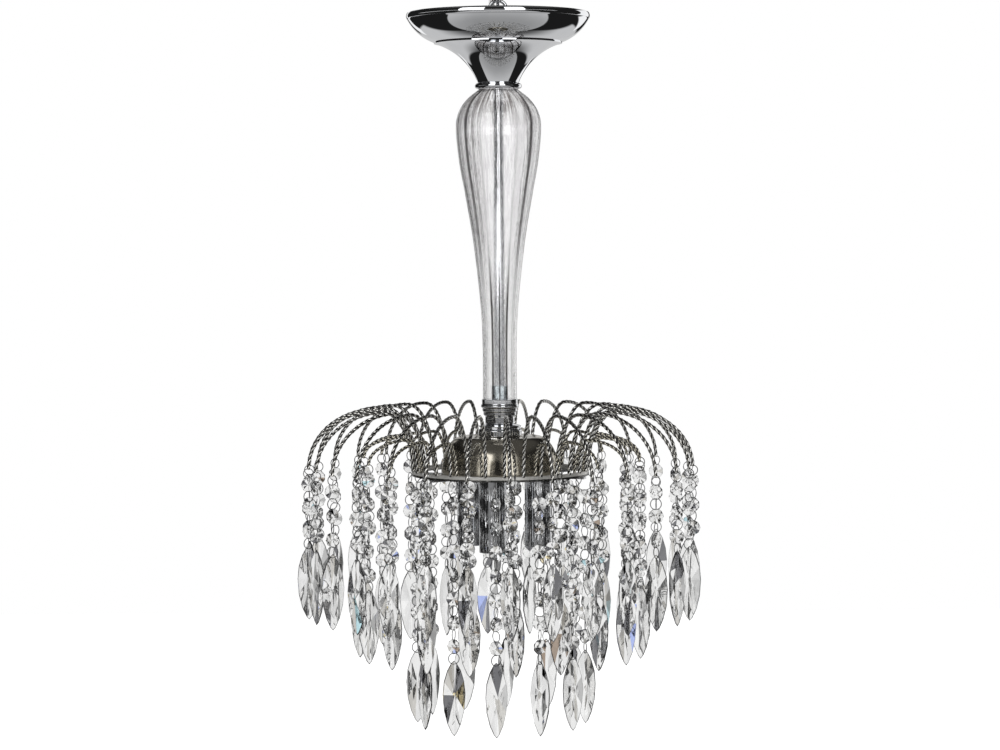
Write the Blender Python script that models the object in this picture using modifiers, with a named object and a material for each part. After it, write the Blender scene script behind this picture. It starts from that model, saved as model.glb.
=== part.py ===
"""Three-light crystal waterfall pendant on a chain, as an assembly of its separate pieces.

The origin is the point where the top chain link hangs on its hook. Z is up, and the front of the lamp
faces -Y. Sizes are in millimetres. A drop is a distance below the hanging point, a radius is measured
from the lamp's upright axis, and an azimuth runs from the front (0) round to the right (+90).
"""
import math

import bmesh
import bpy
from mathutils import Matrix, Vector

MM = 0.001
GAP = 0.3
MERGE_DISTANCE = 0.00001

# Chain and suspension eye
CHAIN_WIRE = 3.2
CHAIN_PLAY = 0.9
LINK_LENGTH = 34.8
LINK_WIDTH = 22.0
EYE_WIRE = 3.4
EYE_MEAN_RADIUS = 8.6
FERRULE_RADIUS = 8.0
FERRULE_NECK_RADIUS = 4.8
FERRULE_LENGTH = 13.0
FERRULE_SHOULDER = 3.9
FERRULE_BORE_DEPTH = 8.45

# Upright stem: tube, dish, glass and turned collars
ROD_RADIUS = 5.0
ROD_BORE = 3.5
ROD_TAIL = 13.0
ROD_CLEAR = ROD_RADIUS + GAP
DISH_RIM_RADIUS = 92.0
DISH_RIM_DROP = 65.6
DISH_BREAK_RADIUS = 64.0
DISH_BREAK_DROP = 95.0
DISH_STEP = 1.8
DISH_NECK_RADIUS = 20.5
DISH_NECK_DROP = 135.4
DISH_WALL = 1.2
BOWL_BULGE = 0.096
TRUMPET_BULGE = -0.111
NECK_RING_RADIUS = 23.5
NECK_RING_HEIGHT = 6.0
CLAMP_TOP_DROP = 98.0
CLAMP_HUB_RADIUS = 14.5
CLAMP_FLANGE_RADIUS = 20.0
CLAMP_FLANGE_DROP = 127.0
CLAMP_FLANGE_HEIGHT = 2.5
GLASS_TOP_DROP = 141.9
GLASS_LENGTH = 309.2
GLASS_SHAPE = [
    (19.5, 0.0), (31.5, 10.0), (40.0, 23.0), (42.7, 40.0), (39.5, 73.0),
    (33.6, 106.0), (26.0, 152.0), (19.2, 212.0), (17.0, 255.0), (17.0, GLASS_LENGTH),
]
GLASS_WALL = 3.2
GLASS_MOUTH = 13.0
GLASS_RIBS = 14
RIB_DEPTH = 0.045
COUPLING_LENGTH = 13.0
ROD_NUT_LENGTH = 7.8
NUT_CORNER_RADIUS = 8.1
NUT_BORE_CORNER = 6.3
COLLAR_TOP_DROP = 451.4
COLLAR_SHAPE = [
    (18.0, 0.0), (18.0, 5.0), (19.0, 5.8), (19.0, 8.0), (17.5, 9.0),
    (17.5, 12.0), (16.5, 12.8), (16.5, 16.0), (14.7, 17.0), (14.7, 24.5),
]
BELL_TOP_DROP = 476.2
BELL_SHAPE = [(15.0, 0.0), (21.0, 1.8), (21.0, 3.2), (19.0, 4.0), (22.0, 6.0), (22.0, 12.0)]

# Crown: dome, spider, bands and bent arms
DOME_TOP_DROP = 488.6
DOME_TOP_RADIUS = 38.0
DOME_RADIUS = 59.0
DOME_WALL = 1.5
SPIDER_TOP_DROP = 527.3
SPIDER_THICKNESS = 2.0
SPIDER_PLATE_RADIUS = 62.0
SPIDER_BARS = 6
SPIDER_BAR_WIDTH = 8.0
SPIDER_REACH = 89.2
SPIDER_AZIMUTH = 10.0
BAND_TOP_DROP = 521.9
BAND_HEIGHT = 5.1
BAND_WALL = 1.5
OUTER_BAND_RADIUS = 88.5
INNER_BAND_RADIUS = 85.4
OUTER_ARMS = 30
OUTER_ARM_WIRE = 4.2
OUTER_ARM_FOOT = 88.6
OUTER_ARM_APEX = (122.0, 461.3)
OUTER_ARM_TIP = (192.0, 518.6)
OUTER_ARM_AZIMUTH = 2.7
INNER_ARMS = 20
INNER_ARM_WIRE = 3.6
INNER_ARM_FOOT = 84.0
INNER_ARM_APEX = (100.0, 489.2)
INNER_ARM_TIP = (141.0, 512.5)
INNER_ARM_AZIMUTH = 5.7

# Lamp sleeves and their holders
LAMPS = 3
LAMP_CIRCLE = 40.0
LAMP_AZIMUTH = -11.0
SLEEVE_RADIUS = 13.5
SLEEVE_WALL = 1.2
SLEEVE_BOTTOM_DROP = 600.1
HOLDER_RADIUS = 11.8
HOLDER_TOP_RADIUS = 7.0
HOLDER_SHOULDER = 8.0
HOLDER_BOTTOM_DROP = 597.5
SOCKET_RADIUS = 7.2
SOCKET_DEPTH = 24.0

# Crystal strands
BEAD_SIZE = 14.0
BEAD_THICKNESS = 6.5
BEAD_PITCH = 23.2
LINK_HALF_WIDTH = 1.6
LINK_THICKNESS = 1.2
PENDANT_LENGTH = 73.5
PENDANT_WIDTH = 22.5
PENDANT_THICKNESS = 10.0
PENDANT_BELLY = 0.45
PENDANT_SHAPE = [
    (0.0, 0.1, 0.18), (0.13, 0.6, 0.42), (PENDANT_BELLY, 1.0, 1.0), (0.84, 0.6, 0.42), (1.0, 0.04, 0.12),
]
CRYSTAL_TURN = 50.0
TURN_CHOICES = 13
TURN_STRIDES = (7, 5)
LAST_BEAD_TO_PENDANT = 13.5
PIVOT_GAP = 1.2
OUTER_BEADS = 3
INNER_BEADS = 5
LONG_BEADS = 7
ARM_TO_FIRST_BEAD = 15.0
BAND_TO_FIRST_BEAD = 22.1
LONG_STRANDS = 12
LONG_STRAND_RADIUS = 84.0
LONG_STRAND_AZIMUTH = -3.3
LONG_ROOT = (1.6, 3.0)

# Supply flex, which comes down beside the chain and goes into the clamp in the dish
FLEX_RADIUS = 3.0
FLEX_ROUTE = [
    (-6.0, 15.5, 22.3),
    (-6.0, 15.5, 40.0),
    (-6.0, 15.4, 58.0),
    (-5.6, 13.4, 72.0),
    (-5.0, 10.2, 86.0),
    (-4.8, 9.2, CLAMP_TOP_DROP - GAP),
]
TERMINAL_SIZE = (11.0, 11.0, 17.0)
TERMINAL_EDGE = 1.0

# Facets
ROUND_STEPS = 16
WIDE_STEPS = 20
FLEX_POINTS_PER_SPAN = 3
LINK_BEND_STEPS = 6
WIRE_SIDES = 6
SMALL_STEPS = 12

# Joint axes that follow from the sizes above
UPPER_WIRE_DROP = LINK_LENGTH - 1.5 * CHAIN_WIRE
LOWER_LINK_TOP = UPPER_WIRE_DROP - CHAIN_WIRE / 2 - CHAIN_WIRE - CHAIN_PLAY
LOWER_WIRE_DROP = LOWER_LINK_TOP + LINK_LENGTH - CHAIN_WIRE / 2
EYE_DROP = LOWER_WIRE_DROP - CHAIN_WIRE / 2 - CHAIN_PLAY + EYE_MEAN_RADIUS - EYE_WIRE / 2
BAND_BOTTOM_DROP = BAND_TOP_DROP + BAND_HEIGHT


def clear_scene():
    for old in list(bpy.data.objects):
        bpy.data.objects.remove(old, do_unlink=True)


def new_collection(name):
    collection = bpy.data.collections.new(name)
    bpy.context.scene.collection.children.link(collection)
    return collection


def finish(name, colour, roughness, metallic, transmission=0.0):
    """One Principled material."""
    material = bpy.data.materials.new(name)
    material.use_nodes = True
    shader = material.node_tree.nodes["Principled BSDF"]
    shader.inputs["Base Color"].default_value = (*colour, 1.0)
    shader.inputs["Roughness"].default_value = roughness
    shader.inputs["Metallic"].default_value = metallic
    shader.inputs["Transmission Weight"].default_value = transmission
    return material


def pivot(name, drop):
    """An empty on a joint's axis, which the pieces of that body hang on."""
    empty = bpy.data.objects.new(name, None)
    PARTS.objects.link(empty)
    empty.location.z = -drop * MM
    return empty


def add_part(name, data, material, parent):
    """Link a piece and parent it so that its own location stays in the lamp's frame."""
    part = bpy.data.objects.new(name, data)
    PARTS.objects.link(part)
    if not data.materials:
        data.materials.append(material)
    part.parent = parent
    part.matrix_parent_inverse = Matrix.Translation(-parent.location)
    return part


def around(radius, azimuth, drop):
    """A place in the lamp's frame, from its radius, its azimuth in degrees and its drop."""
    angle = math.radians(azimuth)
    return Vector((radius * math.sin(angle), -radius * math.cos(angle), -drop)) * MM


def facing(azimuth):
    """The turn about Z that points a piece's own X axis outward at this azimuth."""
    return math.radians(azimuth - 90.0)


def arc(start, end, bulge, steps):
    """Points of a circular arc down a profile; bulge is its rise over its chord, + away from the axis."""
    start, end = Vector(start), Vector(end)
    chord = end - start
    away = Vector((chord.y, -chord.x))
    half_angle = 2.0 * math.atan(2.0 * bulge)
    centre = (start + end) / 2 - away / (2.0 * math.tan(half_angle))
    turn = 2.0 * half_angle / steps
    spoke = start - centre
    return [tuple(centre + Matrix.Rotation(turn * i, 2) @ spoke) for i in range(steps + 1)]


def quarter(start, end, steps, level_first):
    """Points of a quarter ellipse from start to end, level at its first or at its last point."""
    points = []
    for i in range(steps + 1):
        angle = math.pi / 2 * i / steps
        along, across = math.sin(angle), 1.0 - math.cos(angle)
        if not level_first:
            along, across = across, along
        points.append((start[0] + (end[0] - start[0]) * along, start[1] + (end[1] - start[1]) * across))
    return points


def smooth_through(route, per_span):
    """Points of a Catmull-Rom curve through the route's own points."""
    ends = [Vector(route[0]) * 2 - Vector(route[1]), Vector(route[-1]) * 2 - Vector(route[-2])]
    knots = [ends[0], *map(Vector, route), ends[1]]
    points = []
    for a, b, c, d in zip(knots, knots[1:], knots[2:], knots[3:]):
        for i in range(per_span):
            t = i / per_span
            bend = 2 * a - 5 * b + 4 * c - d
            twist = -a + 3 * b - 3 * c + d
            points.append((2 * b + (c - a) * t + bend * t ** 2 + twist * t ** 3) / 2)
    return points + [Vector(route[-1])]


def profile_mesh(name, profile):
    """A turned profile of radius and drop: down the outer side, then back up the bore if there is one."""
    bm = bmesh.new()
    verts = [bm.verts.new((radius * MM, 0.0, -drop * MM)) for radius, drop in profile]
    for upper, lower in zip(verts, verts[1:]):
        bm.edges.new((upper, lower))
    if profile[0][0] > 0.0:
        bm.edges.new((verts[-1], verts[0]))
    mesh = bpy.data.meshes.new(name)
    bm.to_mesh(mesh)
    bm.free()
    return mesh


def turned(name, profile, material, parent, steps=ROUND_STEPS):
    """A piece turned about the upright axis."""
    part = add_part(name, profile_mesh(name, profile), material, parent)
    turn = part.modifiers.new("Turn", "SCREW")
    turn.steps = steps
    turn.render_steps = steps
    turn.use_merge_vertices = True
    turn.merge_threshold = MERGE_DISTANCE
    return part


def tube(name, points, radius, material, parent, cyclic=False, sides=2):
    """A round wire or cable along its points, which are in the lamp's frame."""
    curve = bpy.data.curves.new(name, "CURVE")
    curve.dimensions = "3D"
    curve.bevel_depth = radius * MM
    curve.bevel_resolution = sides
    curve.use_fill_caps = True
    spline = curve.splines.new("POLY")
    spline.points.add(len(points) - 1)
    spline.use_cyclic_u = cyclic
    for point, place in zip(spline.points, points):
        point.co = (*(Vector(place) * MM), 1.0)
    return add_part(name, curve, material, parent)


def link_points(top_drop, across):
    """The middle line of an oval chain link whose outside starts at top_drop."""
    bend = (LINK_WIDTH - CHAIN_WIRE) / 2
    straight = LINK_LENGTH - LINK_WIDTH
    points = []
    for half in (1, -1):
        middle = -(top_drop + LINK_LENGTH / 2) + half * straight / 2
        for i in range(LINK_BEND_STEPS + 1):
            angle = math.pi * i / LINK_BEND_STEPS
            height = middle + half * bend * math.sin(angle)
            points.append(across * (half * bend * math.cos(angle)) + Vector((0, 0, height)))
    return points


def chain():
    """Two oval links: the upper one face on, the lower one edge on, hanging in the upper one."""
    wire = CHAIN_WIRE / 2
    upper = link_points(-CHAIN_WIRE, Vector((1, 0, 0)))
    lower = link_points(LOWER_LINK_TOP, Vector((0, 1, 0)))
    tube("upper_chain_link", upper, wire, CHROME, HANGER, cyclic=True, sides=1)
    tube("lower_chain_link", lower, wire, CHROME, CHAIN, cyclic=True, sides=1)


def suspension_eye():
    """A wire ring brazed on a turned ferrule that screws over the top of the tube."""
    top = EYE_DROP + EYE_MEAN_RADIUS - EYE_WIRE / 4
    bottom = top + FERRULE_LENGTH
    hole_end = bottom - FERRULE_BORE_DEPTH
    eye = turned(
        "suspension_eye",
        [(0.0, top), (FERRULE_NECK_RADIUS, top), (FERRULE_RADIUS, top + FERRULE_SHOULDER),
         (FERRULE_RADIUS, bottom), (ROD_CLEAR, bottom), (ROD_CLEAR, hole_end), (0.0, hole_end)],
        CHROME, LAMP, SMALL_STEPS)
    bpy.ops.mesh.primitive_torus_add(
        major_radius=EYE_MEAN_RADIUS * MM, minor_radius=EYE_WIRE / 2 * MM, major_segments=ROUND_STEPS,
        minor_segments=WIRE_SIDES, location=(0, 0, -EYE_DROP * MM), rotation=(math.pi / 2, 0, 0))
    join_with(eye, bpy.context.object)
    return hole_end


def join_with(part, tool):
    """Braze the tool's shape on the part."""
    for home in list(tool.users_collection):
        home.objects.unlink(tool)
    TOOLS.objects.link(tool)
    tool.hide_render = True
    tool.display_type = "WIRE"
    union = part.modifiers.new("Braze", "BOOLEAN")
    union.operation = "UNION"
    union.solver = "EXACT"
    union.object = tool


def canopy_dish():
    """A spun bowl whose convex upper half breaks at a crisp step into a trumpet neck, open at the top."""
    rim = (DISH_RIM_RADIUS, DISH_RIM_DROP)
    breaks = (DISH_BREAK_RADIUS, DISH_BREAK_DROP)
    step = (DISH_BREAK_RADIUS - DISH_STEP, DISH_BREAK_DROP + DISH_STEP / 2)
    neck = (DISH_NECK_RADIUS, DISH_NECK_DROP)
    bowl = arc(rim, breaks, BOWL_BULGE, 4)
    trumpet = arc(step, neck, TRUMPET_BULGE, 5)
    inner_bowl = [(radius - DISH_WALL, drop - DISH_WALL / 2) for radius, drop in bowl]
    inner_trumpet = [(radius - DISH_WALL, drop - DISH_WALL) for radius, drop in trumpet[1:-1]]
    inner_neck = (DISH_NECK_RADIUS - DISH_WALL, DISH_NECK_DROP)
    inner = [*inner_bowl, *inner_trumpet, inner_neck]
    turned("canopy_dish", [*bowl, *trumpet, *inner[::-1]], CHROME, LAMP, WIDE_STEPS)


def stem():
    """The threaded tube with the pieces that clamp the dish and the glass on it."""
    tube_top = suspension_eye() + GAP
    tube_bottom = SPIDER_TOP_DROP + ROD_TAIL
    turned(
        "centre_rod",
        [(ROD_RADIUS, tube_top), (ROD_RADIUS, tube_bottom), (ROD_BORE, tube_bottom), (ROD_BORE, tube_top)],
        CHROME, LAMP, SMALL_STEPS)
    flange_bottom = CLAMP_FLANGE_DROP + CLAMP_FLANGE_HEIGHT
    turned(
        "dish_clamp",
        [(CLAMP_HUB_RADIUS, CLAMP_TOP_DROP), (CLAMP_HUB_RADIUS, CLAMP_FLANGE_DROP),
         (CLAMP_FLANGE_RADIUS, CLAMP_FLANGE_DROP), (CLAMP_FLANGE_RADIUS, flange_bottom),
         (ROD_CLEAR, flange_bottom), (ROD_CLEAR, CLAMP_TOP_DROP)],
        STEEL, LAMP)
    ring_top = DISH_NECK_DROP + GAP
    ring_bottom = ring_top + NECK_RING_HEIGHT
    bead_root = NECK_RING_RADIUS - NECK_RING_HEIGHT / 2
    bead = arc((bead_root, ring_top), (bead_root, ring_bottom), 0.5, 4)
    turned("dish_neck_ring", [*bead, (ROD_CLEAR, ring_bottom), (ROD_CLEAR, ring_top)], CHROME, LAMP)
    glass_column()
    glass_bottom = GLASS_TOP_DROP + GLASS_LENGTH
    hexagon("coupling_nut", glass_bottom - COUPLING_LENGTH, COUPLING_LENGTH)
    hexagon("rod_nut", SPIDER_TOP_DROP + SPIDER_THICKNESS + GAP, ROD_NUT_LENGTH)
    on_tube("column_collar", COLLAR_SHAPE, COLLAR_TOP_DROP)
    on_tube("hub_bell", BELL_SHAPE, BELL_TOP_DROP)


def on_tube(name, shape, top):
    """A turned collar bored for the tube; its shape is of radii and distances below its top."""
    outside = [(radius, top + down) for radius, down in shape]
    bore = [(ROD_CLEAR, outside[-1][1]), (ROD_CLEAR, top)]
    turned(name, [*outside, *bore], CHROME, LAMP)


def hexagon(name, top, length):
    """A hexagon nut on the tube."""
    bottom = top + length
    outside = [(NUT_CORNER_RADIUS, top), (NUT_CORNER_RADIUS, bottom)]
    bore = [(NUT_BORE_CORNER, bottom), (NUT_BORE_CORNER, top)]
    turned(name, [*outside, *bore], STEEL, LAMP, 6)


def glass_column():
    """A blown, ribbed glass baluster, hollow and open at both ends."""
    outside = [(radius, GLASS_TOP_DROP + down) for radius, down in GLASS_SHAPE]
    inside = [(radius - GLASS_WALL, drop) for radius, drop in outside[1:-3:2]]
    mouths = [(GLASS_MOUTH, outside[0][1]), (GLASS_MOUTH, outside[-1][1])]
    mesh = profile_mesh("glass_column", [*outside, mouths[1], *inside[::-1], mouths[0]])
    outer_radius = {round(drop, 1): radius * MM for radius, drop in outside}
    bm = bmesh.new()
    bm.from_mesh(mesh)
    bmesh.ops.spin(bm, geom=bm.edges[:], cent=(0, 0, 0), axis=(0, 0, 1), dvec=(0, 0, 0), angle=math.tau,
                   steps=2 * GLASS_RIBS, use_merge=True)
    for vert in bm.verts:
        skin = outer_radius.get(round(-vert.co.z / MM, 1), 0.0)
        if abs(vert.co.xy.length - skin) < GAP * MM:
            angle = math.atan2(vert.co.y, vert.co.x)
            vert.co.xy *= 1.0 + RIB_DEPTH / 2 * (math.cos(GLASS_RIBS * angle) - 1.0)
    bmesh.ops.recalc_face_normals(bm, faces=bm.faces[:])
    bm.to_mesh(mesh)
    bm.free()
    add_part("glass_column", mesh, GLASS, LAMP)


def hub_and_spider():
    """The dome over the crown, and the flat spider under it that carries the two bands and the lamps."""
    bottom = SPIDER_TOP_DROP - GAP
    shoulder = quarter((DOME_TOP_RADIUS, DOME_TOP_DROP), (DOME_RADIUS, bottom), 4, True)
    inner = [(radius - DOME_WALL, drop + DOME_WALL) for radius, drop in shoulder[:-1]]
    foot = (DOME_RADIUS - DOME_WALL, bottom)
    turned(
        "hub_dome",
        [*shoulder, foot, *inner[::-1], (ROD_CLEAR, DOME_TOP_DROP + DOME_WALL), (ROD_CLEAR, DOME_TOP_DROP)],
        DARK_CHROME, LAMP, WIDE_STEPS)
    outline = bpy.data.curves.new("crown_spider", "CURVE")
    outline.dimensions = "2D"
    outline.fill_mode = "BOTH"
    outline.extrude = SPIDER_THICKNESS / 2 * MM
    half_bar = math.degrees(math.asin(SPIDER_BAR_WIDTH / 2 / SPIDER_PLATE_RADIUS))
    half_end = math.degrees(math.asin(SPIDER_BAR_WIDTH / 2 / SPIDER_REACH))
    pitch = 360.0 / SPIDER_BARS
    star = []
    for bar in range(SPIDER_BARS):
        middle = SPIDER_AZIMUTH + bar * pitch
        star += [(SPIDER_PLATE_RADIUS, middle - half_bar), (SPIDER_REACH, middle - half_end),
                 (SPIDER_REACH, middle + half_end), (SPIDER_PLATE_RADIUS, middle + half_bar)]
        star += [(SPIDER_PLATE_RADIUS, middle + pitch * share) for share in (1 / 3, 1 / 2, 2 / 3)]
    hole = [(ROD_CLEAR + GAP, 360.0 * i / 12) for i in range(12)]
    for ring in (star, hole):
        spline = outline.splines.new("POLY")
        spline.points.add(len(ring) - 1)
        spline.use_cyclic_u = True
        for point, (radius, azimuth) in zip(spline.points, ring):
            point.co = (*around(radius, azimuth, 0.0), 1.0)
    spider = add_part("crown_spider", outline, STEEL, LAMP)
    spider.location.z = -(SPIDER_TOP_DROP + SPIDER_THICKNESS / 2) * MM


def station(place, heading, half_width, thickness, turn=0.0):
    """One section of a sweep: a triangle across the path, with its ridge on the outer side.

    The place is a radius and a drop. The heading is the path's angle from straight down, towards outward.
    The turn, in degrees about the path, swings the ridge from the outer side.
    """
    down = Vector((math.sin(heading), 0.0, -math.cos(heading)))
    outward = Vector((math.cos(heading), 0.0, math.sin(heading)))
    across = Vector((0.0, 1.0, 0.0))
    axes = Matrix((across, outward, down)).transposed().to_4x4()
    size = Matrix.Diagonal((half_width / math.sin(math.pi / 3), thickness / 1.5, 1.0, 1.0))
    spot = Matrix.Translation(Vector((place[0], 0.0, -place[1])) * MM)
    swing = Matrix.Rotation(-math.radians(turn), 4, "Z")
    return spot @ axes @ swing @ size @ Matrix.Scale(MM, 4)


def sweep(bm, stations, spin=0.0):
    """Extrude a triangle from station to station, and turn the result about the upright axis."""
    turn = Matrix.Rotation(spin, 4, "Z")
    start = bmesh.ops.create_circle(bm, cap_ends=True, radius=1.0, segments=3, matrix=turn @ stations[0])
    face = start["verts"][0].link_faces[0]
    for last, following in zip(stations, stations[1:]):
        made = bmesh.ops.extrude_face_region(bm, geom=[face])["geom"]
        verts = [item for item in made if isinstance(item, bmesh.types.BMVert)]
        if last is not stations[0]:
            bmesh.ops.delete(bm, geom=[face], context="FACES_ONLY")
        face = next(item for item in made if isinstance(item, bmesh.types.BMFace))
        bmesh.ops.transform(bm, matrix=turn @ following @ last.inverted() @ turn.inverted(), verts=verts)


def arm_stations(foot, apex, tip, wire, steps):
    """Sections along a bent arm: up from the band, over the top, and down to a hanging tip."""
    base = (foot, BAND_BOTTOM_DROP)
    rise = quarter((foot, BAND_TOP_DROP), apex, steps[0], False)
    fall = quarter(apex, tip, steps[1], True)
    path = [base, *rise, *fall[1:]]
    headings = [math.pi]
    for before, after in zip(path, path[2:]):
        headings.append(math.atan2(after[0] - before[0], after[1] - before[1]))
    headings.append(0.0)
    half = wire / 2
    return [station(place, heading, half, 1.5 * half) for place, heading in zip(path, headings)]


def crystal_turns(number, azimuth, beads):
    """How far a strand's beads and its pendant have turned on their rings, as degrees from the outward side.

    They all face within CRYSTAL_TURN of the lamp's front or back, in no clear order.
    """
    to_front = (90.0 - azimuth) % 180.0 - 90.0
    strand_stride, crystal_stride = TURN_STRIDES
    turns = []
    for crystal in range(beads + 1):
        choice = (strand_stride * number + crystal_stride * crystal) % TURN_CHOICES
        turns.append(to_front + CRYSTAL_TURN * (2.0 * choice / (TURN_CHOICES - 1) - 1.0))
    return turns


def strand_stations(radius, pivot_drop, first_bead, turns, octagon):
    """Sections down a strand: a wire link, crystal beads with links between them, and an almond pendant."""
    half = BEAD_SIZE / 2
    flank = half * math.tan(math.pi / 8)
    thick_link = (LINK_HALF_WIDTH, LINK_THICKNESS)
    rows = [(pivot_drop + PIVOT_GAP, *thick_link, turns[0] / 2)]
    for bead, turn in enumerate(turns[:-1]):
        middle = pivot_drop + first_bead + bead * BEAD_PITCH
        belly = (middle - flank, middle + flank) if octagon else (middle,)
        rows.append((middle - half, *thick_link, turn))
        rows += [(drop, half, BEAD_THICKNESS, turn) for drop in belly]
        rows.append((middle + half, *thick_link, turn))
    top = middle + LAST_BEAD_TO_PENDANT
    for share, width, depth in PENDANT_SHAPE:
        drop = top + share * PENDANT_LENGTH
        rows.append((drop, width * PENDANT_WIDTH / 2, depth * PENDANT_THICKNESS, turns[-1]))
    return [station((radius, drop), 0.0, width, depth, turn) for drop, width, depth, turn in rows]


def swept_mesh(name, sweeps):
    """One mesh of several sweeps, each a list of stations and its turn about the upright axis."""
    bm = bmesh.new()
    for stations, spin in sweeps:
        sweep(bm, stations, spin)
    bmesh.ops.triangulate(bm, faces=bm.faces[:], quad_method="SHORT_EDGE")
    bmesh.ops.recalc_face_normals(bm, faces=bm.faces[:])
    mesh = bpy.data.meshes.new(name)
    bm.to_mesh(mesh)
    bm.free()
    return mesh


def spread(first_azimuth, count):
    """Azimuths of pieces set evenly round the lamp."""
    return [first_azimuth + 360.0 / count * number for number in range(count)]


def arm_crown(name, band_radius, azimuths, sweeps, material):
    """A flat band, with a facet from arm to arm, and the swept arms and strands brazed on it."""
    inner = band_radius - BAND_WALL
    band = turned(
        name, [(band_radius, BAND_TOP_DROP), (band_radius, BAND_BOTTOM_DROP), (inner, BAND_BOTTOM_DROP),
               (inner, BAND_TOP_DROP)],
        material, LAMP, len(azimuths))
    band.rotation_euler.z = facing(azimuths[0])
    join_with(band, bpy.data.objects.new(name + "_arms", swept_mesh(name + "_arms", sweeps)))


def crown():
    """Both tiers of arms. The inner one also carries its own strands and the long strands under its band."""
    outer = arm_stations(OUTER_ARM_FOOT, OUTER_ARM_APEX, OUTER_ARM_TIP, OUTER_ARM_WIRE, (3, 5))
    outer_azimuths = spread(OUTER_ARM_AZIMUTH, OUTER_ARMS)
    sweeps = [(outer, facing(azimuth)) for azimuth in outer_azimuths]
    arm_crown("outer_arm_crown", OUTER_BAND_RADIUS, outer_azimuths, sweeps, DARK_CHROME)
    for number, azimuth in enumerate(outer_azimuths):
        turns = crystal_turns(number, azimuth, OUTER_BEADS)
        stations = strand_stations(0.0, 0.0, ARM_TO_FIRST_BEAD, turns, True)
        hang(f"outer_strand_{number + 1:02d}", stations, *OUTER_ARM_TIP, azimuth)

    inner = arm_stations(INNER_ARM_FOOT, INNER_ARM_APEX, INNER_ARM_TIP, INNER_ARM_WIRE, (2, 4))
    inner_azimuths = spread(INNER_ARM_AZIMUTH, INNER_ARMS)
    sweeps = []
    for number, azimuth in enumerate(inner_azimuths, OUTER_ARMS):
        turns = crystal_turns(number, azimuth, INNER_BEADS)
        strand = strand_stations(*INNER_ARM_TIP, ARM_TO_FIRST_BEAD, turns, False)
        sweeps.append((inner + strand, facing(azimuth)))
    root = station((LONG_STRAND_RADIUS, BAND_TOP_DROP + BAND_HEIGHT / 2), 0.0, *LONG_ROOT)
    long_azimuths = spread(LONG_STRAND_AZIMUTH, LONG_STRANDS)
    for number, azimuth in enumerate(long_azimuths, OUTER_ARMS + INNER_ARMS):
        turns = crystal_turns(number, azimuth, LONG_BEADS)
        strand = strand_stations(LONG_STRAND_RADIUS, BAND_BOTTOM_DROP, BAND_TO_FIRST_BEAD, turns, False)
        sweeps.append(([root, *strand], facing(azimuth)))
    arm_crown("inner_arm_crown", INNER_BAND_RADIUS, inner_azimuths, sweeps, BRASS)


def hang(name, stations, radius, drop, azimuth):
    """A strand under its arm's tip, with its origin on its own hinge."""
    strand = add_part(name, swept_mesh(name, [(stations, 0.0)]), CRYSTAL, LAMP)
    strand.location = around(radius, azimuth, drop)
    strand.rotation_euler.z = facing(azimuth)


def lamps():
    """Three chromed sleeves under the spider, each round a small screw lampholder open at the bottom."""
    top = SPIDER_TOP_DROP + SPIDER_THICKNESS + GAP
    inner = SLEEVE_RADIUS - SLEEVE_WALL
    socket_end = HOLDER_BOTTOM_DROP - SOCKET_DEPTH
    shoulder = top + HOLDER_SHOULDER
    for lamp in range(LAMPS):
        place = around(LAMP_CIRCLE, LAMP_AZIMUTH + 360.0 / LAMPS * lamp, 0.0)
        sleeve = turned(
            f"lamp_sleeve_{lamp + 1}",
            [(SLEEVE_RADIUS, top), (SLEEVE_RADIUS, SLEEVE_BOTTOM_DROP),
             (inner, SLEEVE_BOTTOM_DROP), (inner, top)],
            CHROME, LAMP)
        holder = turned(
            f"lampholder_{lamp + 1}",
            [(0.0, top), (HOLDER_TOP_RADIUS, top), (HOLDER_RADIUS, shoulder),
             (HOLDER_RADIUS, HOLDER_BOTTOM_DROP), (SOCKET_RADIUS, HOLDER_BOTTOM_DROP),
             (SOCKET_RADIUS, socket_end), (0.0, socket_end)],
            BAKELITE, LAMP, SMALL_STEPS)
        sleeve.location = place
        holder.location = place


def supply():
    """The clear flex beside the chain, from the clamp in the dish up to its terminal block."""
    route = [(x, y, -drop) for x, y, drop in FLEX_ROUTE]
    tube("supply_flex", smooth_through(route, FLEX_POINTS_PER_SPAN), FLEX_RADIUS, CLEAR_SHEATH, LAMP)
    x, y, end = FLEX_ROUTE[0]
    bm = bmesh.new()
    bmesh.ops.create_cube(bm, size=1.0)
    bmesh.ops.scale(bm, vec=Vector(TERMINAL_SIZE) * MM, verts=bm.verts[:])
    mesh = bpy.data.meshes.new("terminal_block")
    bm.to_mesh(mesh)
    bm.free()
    block = add_part("terminal_block", mesh, WHITE_PLASTIC, LAMP)
    block.location = Vector((x, y, -(end - GAP - TERMINAL_SIZE[2] / 2))) * MM
    bevel = block.modifiers.new("Edges", "BEVEL")
    bevel.width = TERMINAL_EDGE * MM
    bevel.segments = 1


clear_scene()
PARTS = new_collection("crystal_waterfall_pendant")
TOOLS = new_collection("joining_shapes")
CHROME = finish("polished_chrome", (0.80, 0.80, 0.82), 0.06, 1.0)
DARK_CHROME = finish("dark_chrome", (0.42, 0.40, 0.37), 0.15, 1.0)
BRASS = finish("pale_nickelled_brass", (0.62, 0.57, 0.45), 0.20, 1.0)
STEEL = finish("plated_steel", (0.62, 0.62, 0.64), 0.25, 1.0)
GLASS = finish("clear_blown_glass", (0.97, 0.98, 0.98), 0.02, 0.0, 1.0)
CRYSTAL = finish("cut_crystal", (0.96, 0.97, 1.00), 0.01, 0.0, 1.0)
BAKELITE = finish("ivory_bakelite", (0.82, 0.79, 0.72), 0.45, 0.0)
CLEAR_SHEATH = finish("clear_cable_sheath", (0.70, 0.70, 0.70), 0.30, 0.0, 0.5)
WHITE_PLASTIC = finish("white_plastic", (0.85, 0.85, 0.83), 0.50, 0.0)
HANGER = pivot("hanger", 0.0)
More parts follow.
